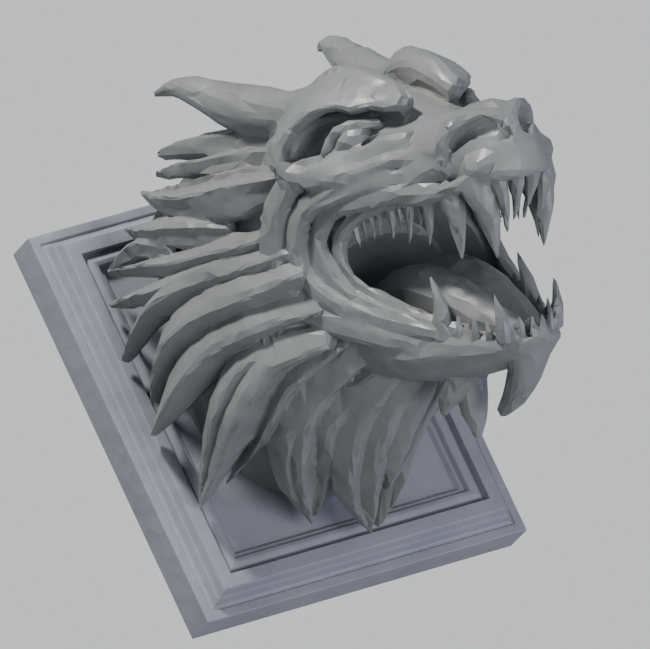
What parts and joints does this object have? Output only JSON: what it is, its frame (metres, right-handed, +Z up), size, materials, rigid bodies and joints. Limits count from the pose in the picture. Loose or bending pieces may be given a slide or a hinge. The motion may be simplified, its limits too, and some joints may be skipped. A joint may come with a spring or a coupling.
{
  "type": "beast head wall corbel",
  "caption": "Cast stone wall corbel: a horned roaring beast's head with bared teeth and a mane of pointed locks on a moulded rectangular back plaque.",
  "frame": {"origin": "centre of the back plaque's rear face, where the corbel meets the wall", "axes": "+Z up, +X to the right seen from the front, +Y into the wall; the head looks along -Y"},
  "size_m": [0.269, 0.425, 0.3381],
  "materials": {
    "stone": "cast, fine grained, matt"
  },
  "bodies": {
    "root": {"back_plaque": "stone", "beast_head": "stone"}
  },
  "joints": []
}
